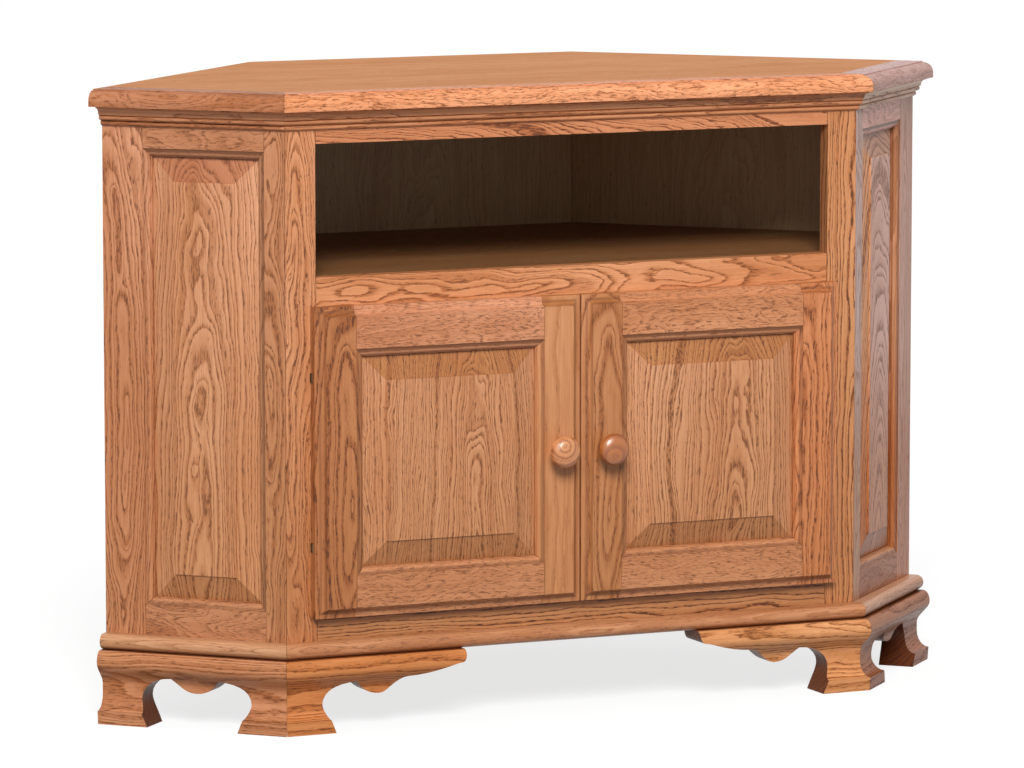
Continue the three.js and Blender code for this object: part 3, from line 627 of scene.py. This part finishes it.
def make_facets():
    # The right facet's tints are much bluer than the left's: painted sheen of the pale surroundings seen at
    # a glancing angle, which also lowers its grain's contrast. Its bottom rail is warm and dark, and it
    # takes its painted sheen only on faces that look up
    rear_tint = {"left": (0.86, 0.78, 0.83), "right": (0.85, 0.87, 1.32)}
    front_tint = {"left": (0.79, 0.73, 0.72), "right": (0.87, 1.13, 2.1)}
    top_tint = {"left": (0.8, 0.73, 0.77), "right": (1.3, 1.42, 2.6)}
    bottom_tint = {"left": (0.75, 0.69, 0.70), "right": (0.50, 0.31, 0.10)}
    panel_tint = {"left": (0.93, 0.92, 1.0), "right": (1.02, 1.1, 1.75)}
    stile_contrast = {"left": 0.78, "right": 0.28}
    rail_contrast = {"left": 0.72, "right": 0.4}
    # Faces of the right facet that turn to the front, towards the light, lose most of that painted sheen,
    # and sloping faces that look up, on the left panel and the right sill, take a bluer painted sheen of
    # their own
    lit_moulding = {
        "left": {},
        "right": {"from": ALONG["right"], "edge": (-0.25, -0.05), "away": (0.81, 0.66, 0.40)},
    }
    lit_bevel = {
        "left": {"from": -UP, "edge": (-0.25, -0.08), "away": (1.0, 0.94, 1.2)},
        "right": {**lit_moulding["right"], "away": (0.98, 0.85, 0.55)},
    }
    lit_sill = {
        "left": {},
        "right": {"from": -UP, "edge": (-0.5, -0.2), "away": (1.4, 1.9, 4.4)},
    }
    # How much stain and painted shade the rear stiles' mouldings take at each edge
    rear_stain = {"left": (0.5, 0.25), "right": (0.6, 0.6)}
    panel_look = {
        "left": {"aside": 0.006, "slope": 0.07, "ring": 0.0044},
        "right": {"depth": 0.06, "slope": 0.2, "ring": 0.0046, "sway": 0.012, "ripple": 0.004,
                  "contrast": 0.9},
    }
    for number, side in enumerate(SIDES):
        seed = 30 + number * 10
        # The stiles' and rails' mouldings take stain and painted shade in their lines, and the top rails a
        # painted highlight on their bellies
        front = board(seed=seed + 1, aside=0.004, depth=0.012, slope=0.08, stain=(0.75, 0.6),
                      contrast=stile_contrast[side], tint=front_tint[side], **TINT_BY_HEIGHT[side])
        rear = board(seed=seed + 2, aside=0.006, depth=0.012, slope=-0.08, ring=0.0038,
                     stain=rear_stain[side], contrast=stile_contrast[side], tint=rear_tint[side],
                     **lit_moulding[side], **TINT_BY_HEIGHT[side])
        top = board(seed=seed + 3, depth=0.06, figure=0.5, pores=0.09, fine=1.3, stain=(1.0, 0.5),
                    rubbed=(0.75, 0), contrast=rail_contrast[side], tint=top_tint[side])
        bottom = board(seed=seed + 4, depth=0.06, figure=0.5, pores=0.09, fine=1.4, stain=(0.5, 0.4),
                       contrast=rail_contrast[side], tint=bottom_tint[side], **lit_sill[side])
        panel = board(seed=seed + 5, tint=panel_tint[side], **panel_look[side], **lit_bevel[side],
                      **TINT_BY_HEIGHT[side])
        upright(side + "_facet_front_stile", side, front, FLUSH_EASE, moulded=True)
        upright(side + "_facet_rear_stile", side, rear, FLUSH_EASE, moulded=True)
        level_run(side + "_facet_top_rail", side, top, FLUSH_EASE, moulded=True)
        level_run(side + "_facet_bottom_rail", side, bottom, FLUSH_EASE, moulded=True)
        upright(side + "_facet_panel", side, panel, smooth=PANEL_TURN)


def make_doors():
    rail_look = {"depth": 0.09, "figure": 0.35, "pores": 0.105, "fine": 1.3}
    hinge_tint = {"left": (0.69, 0.55, 0.43), "right": (0.92, 0.74, 0.64)}
    lock_tint = {"left": (0.85, 0.78, 0.72), "right": (0.77, 0.69, 0.60)}
    top_tint = {"left": (0.98, 0.91, 1.04), "right": (0.93, 0.84, 0.85)}
    panel_tint = {"left": (0.92, 0.91, 0.96), "right": (0.91, 0.90, 0.95)}
    hinge_look = {
        "left": {"aside": -0.012, "slope": 0.14, "ring": 0.006},
        "right": {"aside": 0.018, "slope": 0.04, "ring": 0.004},
    }
    lock_look = {
        "left": {"figure": 0.5, "contrast": 0.5},
        "right": {"slope": 0.13, "depth": 0.015, "ring": 0.007},
    }
    panel_ring = {"left": 0.0028, "right": 0.0042}
    for number, side in enumerate(SIDES):
        seed = 50 + number * 10
        hinge = board(seed=seed + 1, depth=0.015, contrast=0.88, tint=hinge_tint[side], **hinge_look[side],
                      **TINT_BY_HEIGHT["front"])
        lock = board(seed=seed + 2, aside=-0.006, pores=-0.03, tint=lock_tint[side],
                     **{"depth": 0.012, "ring": 0.011, **lock_look[side]}, **TINT_BY_HEIGHT["front"])
        # The rails' mouldings take stain and painted shade in their lines, and the top rails a painted
        # highlight on their bellies
        top = board(seed=seed + 3, stain=(1.0, 0.08), rubbed=(0.75, 0.3), tint=top_tint[side], **rail_look)
        bottom = board(seed=seed + 4, stain=(0.6, 0.5), tint=(0.80, 0.72, 0.70), **rail_look)
        panel = board(seed=seed + 5, aside=-0.03, depth=0.025, slope=0.08, ring=panel_ring[side],
                      contrast=0.82, tint=panel_tint[side], **TINT_BY_HEIGHT["front"])
        upright(side + "_door_hinge_stile", "front", hinge, FLUSH_EASE, moulded=True)
        upright(side + "_door_lock_stile", "front", lock, FLUSH_EASE, moulded=True)
        level_run(side + "_door_top_rail", "front", top, FLUSH_EASE, moulded=True)
        level_run(side + "_door_bottom_rail", "front", bottom, FLUSH_EASE, moulded=True)
        upright(side + "_door_panel", "front", panel, smooth=PANEL_TURN)


def drawn_up(sides, radius, steps):
    """A piece drawn up from a many-sided disc at the origin.

    A step is a rise and the share of the width that the piece keeps at the top of it.
    """
    bpy.ops.object.select_all(action="DESELECT")
    bpy.ops.mesh.primitive_circle_add(vertices=sides, radius=radius, fill_type="NGON", location=(0, 0, 0))
    piece = bpy.context.object
    bpy.ops.object.mode_set(mode="EDIT")
    bpy.ops.mesh.select_all(action="SELECT")
    height = 0
    for rise, share in steps:
        height += rise
        bpy.ops.mesh.extrude_region_move(TRANSFORM_OT_translate={"value": (0, 0, rise)})
        bpy.ops.transform.resize(value=(share, share, 1), center_override=(0, 0, height))
    bpy.ops.mesh.select_all(action="SELECT")
    bpy.ops.mesh.normals_make_consistent(inside=False)
    bpy.ops.object.mode_set(mode="OBJECT")
    return piece


# Corner posts: eight-sided blocks that stiffen the mitres of the case and its feet from within

POST_SIDES = 8
POST_RADIUS = 0.011
POST_FOOT = 0.005
POST_CHAMFER = 0.0015
POST_GAP = 0.0003


def stand_post(side, number):
    low, high = (Vector(corner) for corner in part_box("face_stile_" + side))
    mitre_run = (high.y - low.y) * math.tan(TURN / 2)
    inner = high.x - mitre_run if side == "right" else low.x + mitre_run
    inward = -(FRONT + OUT[side]).normalized()
    foot = Vector((inner, high.y, POST_FOOT)) + inward * (POST_RADIUS + POST_GAP)
    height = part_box("bottom_deck")[0][2] - POST_GAP - POST_FOOT
    keep = 1 - POST_CHAMFER / POST_RADIUS
    steps = [(POST_CHAMFER, 1 / keep), (height - 2 * POST_CHAMFER, 1), (POST_CHAMFER, keep)]
    post = drawn_up(POST_SIDES, POST_RADIUS * keep, steps)
    post.name = "corner_post_" + side
    post.location = foot
    post.rotation_euler = (0, 0, TURN / 2 if side == "right" else -TURN / 2)
    bpy.ops.object.transform_apply(location=True, rotation=True, scale=True)
    look = board(seed=78 + number, tint=(0.7, 0.62, 0.56))
    post.data.materials.append(oak(post.name + "_oak", UP, RIGHT, foot, look))
    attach(post, "case")


def make_feet():
    # Bracket faces turned away from the front or from their facet, such as their sides and the undersides of
    # the arches, are darker: partly stain and partly painted shade. The right facet's bracket is also
    # painted darker near the floor, as painted shade
    front_tint = {"left": (0.89, 0.73, 0.55), "right": (0.99, 0.96, 0.89)}
    facet_look = {
        "left": {"tint": (0.80, 0.75, 0.80)},
        "right": {"tint": (0.56, 0.45, 0.42), "away": (0.42, 0.34, 0.28), "heights": (0.02, 0.05),
                  "low": (0.88, 0.76, 0.60), "high": (1, 1, 1)},
    }
    block = board(depth=0.03, slope=0.02, ring=0.0045, sway=0.02, ripple=0.004, away=(0.34, 0.24, 0.18),
                  gloss=0.18, edge=(0.0, 0.3))
    for number, side in enumerate(SIDES):
        front = {**block, "seed": 71 + number, "tint": front_tint[side]}
        facet = {**block, "seed": 74 + number, "from": OUT[side], **facet_look[side]}
        level_run("bracket_front_" + side, "front", front, FOOT_EASE)
        level_run("bracket_facet_" + side, side, facet, FOOT_EASE)
        stand_post(side, number)


def make_inside():
    # The bay's shelves and walls are painted darker than the oak outside, as painted shade deep in the bay;
    # the walls' faces that look into the bay take a greener, bluer tint that offsets the reddish light
    # bounced inside it
    bay_shade_tint = (0.37, 0.38, 0.33)
    wall = board(depth=0.05, figure=0.35, ring=0.004, rough=0.42, tint=(0.8, 0.76, 0.74),
                 away=(0.82, 1.24, 1.42))
    upright("rear_foot", "front", board(seed=77))
    for number, name in enumerate(("media_shelf", "bottom_deck", "inner_shelf")):
        flat_board(name, board(seed=81 + number, depth=0.08, figure=0.7, tint=bay_shade_tint, rough=0.45))
    for number, side in enumerate(SIDES):
        other = OTHER[side]
        upright("wall_panel_" + side, other, {**wall, "seed": 85 + number, "from": -OUT[other]})
        level_run("shelf_cleat_" + side, other, board(seed=88 + number))
    upright("back_panel", "front", {**wall, "seed": 91, "from": BACK})


# Knobs: turned on a lathe, with a collar, a waist and a domed cap

MILLIMETRES = 1000
KNOB_SIDES = 56
# The profile's radius and its distance from the door, in millimetres
KNOB = [(9.8, 0.0), (10.0, 1.0), (9.6, 1.9), (8.6, 2.6), (7.9, 4.4), (7.6, 6.6), (7.8, 9.0), (9.2, 11.0),
        (12.0, 12.5), (15.2, 13.7), (17.2, 15.2), (17.95, 17.1), (17.8, 18.9), (17.1, 20.8), (15.8, 22.6),
        (13.8, 24.2), (11.2, 25.4), (8.2, 26.2), (5.0, 26.7), (2.4, 26.9), (0.9, 26.95)]


def turn_knob(side, paint):
    name = side + "_door_knob"
    low, high = (Vector(corner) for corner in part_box(name))
    steps = [((height - start) / MILLIMETRES, reach / radius)
             for (radius, start), (reach, height) in zip(KNOB, KNOB[1:])]
    knob = drawn_up(KNOB_SIDES, KNOB[0][0] / MILLIMETRES, steps)
    knob.name = name + "_turned"
    knob.location = ((low.x + high.x) / 2, high.y, (low.z + high.z) / 2)
    knob.rotation_euler = (math.pi / 2, 0, 0)
    bpy.ops.object.transform_apply(location=True, rotation=True, scale=True)
    bpy.ops.object.shade_smooth_by_angle(angle=math.radians(KNOB_TURN))
    knob.data.materials.append(paint)
    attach(knob, body_of(name))
    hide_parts(name)


def make_knobs():
    look = {
        "left": {"aside": 0.0046, "depth": -0.009, "ring": 0.0052, "figure": 1.3,
                 "tint": (1.28, 1.28, 1.42)},
        "right": {"aside": 0.003, "depth": 0.006, "ring": 0.009, "figure": 0.9, "tint": (0.88, 0.66, 0.32)},
    }
    for number, side in enumerate(SIDES):
        name = side + "_door_knob"
        settings = board(seed=95 + number, slope=0.0, sway=0.006, ripple=0.003, pores=-0.03, contrast=0.35,
                         rough=0.31, gloss=1.0, **look[side])
        turn_knob(side, oak(name + "_oak", FRONT, RIGHT, middle(name), settings))


# Hinge screws: an oval head with a cross cut into it, made once and copied to each place

SCREW_SIDES = 24
SCREW_RADIUS = 0.003
SCREW_HEAD = [(0.0002, 0.97), (0.0002, 0.82), (0.0001, 0.5)]
# The bar that cuts one slot of the cross, with its middle at the top of the head
CROSS_BAR = (0.0034, 0.0007, 0.0006)
# How far the screws lie above and below the hinge's middle, and from the edge of each leaf
SCREW_LIFT = 0.0115
FRAME_INSET = 0.009
DOOR_INSET = 0.012


def cut_screw(metal):
    screw = drawn_up(SCREW_SIDES, SCREW_RADIUS, SCREW_HEAD)
    top = sum(step[0] for step in SCREW_HEAD)
    for turn in (0, math.pi / 2):
        bpy.ops.mesh.primitive_cube_add(size=1, location=(0, 0, top), rotation=(0, 0, turn), scale=CROSS_BAR)
        bar = bpy.context.object
        only(screw)
        cut = screw.modifiers.new("cross", "BOOLEAN")
        cut.operation = "DIFFERENCE"
        cut.solver = "EXACT"
        cut.object = bar
        bpy.ops.object.modifier_apply(modifier=cut.name)
        bpy.data.objects.remove(bar)
    bpy.ops.object.shade_smooth_by_angle(angle=math.radians(SCREW_TURN))
    screw.data.materials.clear()
    screw.data.materials.append(metal)
    return screw


def set_screw(screw, name, body, spot, out):
    only(screw)
    bpy.ops.object.duplicate()
    piece = bpy.context.object
    piece.name = name
    piece.location = spot
    piece.rotation_euler = out.to_track_quat("Z", "Y").to_euler()
    bpy.ops.object.transform_apply(location=True, rotation=True, scale=True)
    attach(piece, body)


def screw_hinge(screw, side, level):
    inward = RIGHT if side == "left" else -RIGHT
    for leaf in LEAVES:
        name = "%s_%s_hinge_%s" % (side, level, leaf)
        low, high = (Vector(corner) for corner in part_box(name))
        edge = high.x if side == "left" else low.x
        for number, lift in enumerate((-SCREW_LIFT, SCREW_LIFT)):
            height = (low.z + high.z) / 2 + lift
            if leaf == "frame_leaf":
                spot, out = Vector((edge, high.y - FRAME_INSET, height)), inward
            else:
                spot, out = Vector((edge, high.y, height)) - inward * DOOR_INSET, BACK
            set_screw(screw, "%s_screw_%d" % (name, number), body_of(name), spot, out)


def make_fittings():
    metal = bronze()
    screw = cut_screw(metal)
    for side in SIDES:
        for level in HINGES:
            for leaf in LEAVES:
                dress("%s_%s_hinge_%s" % (side, level, leaf), metal, FLUSH_EASE)
            screw_hinge(screw, side, level)
    bpy.data.objects.remove(screw)
    plastic = moulded_plastic()
    for side in SIDES:
        dress("door_catch_" + side, plastic, CATCH_EASE)


bpy.context.scene.view_settings.view_transform = "Standard"
place_camera()
sun("key", direction=(-0.42, -1.0, 0.8), strength=3.2, spread=24)
light_world()
lay_floor()
make_top()
make_mouldings()
make_face_frame()
make_facets()
make_doors()
make_feet()
make_inside()
make_knobs()
make_fittings()
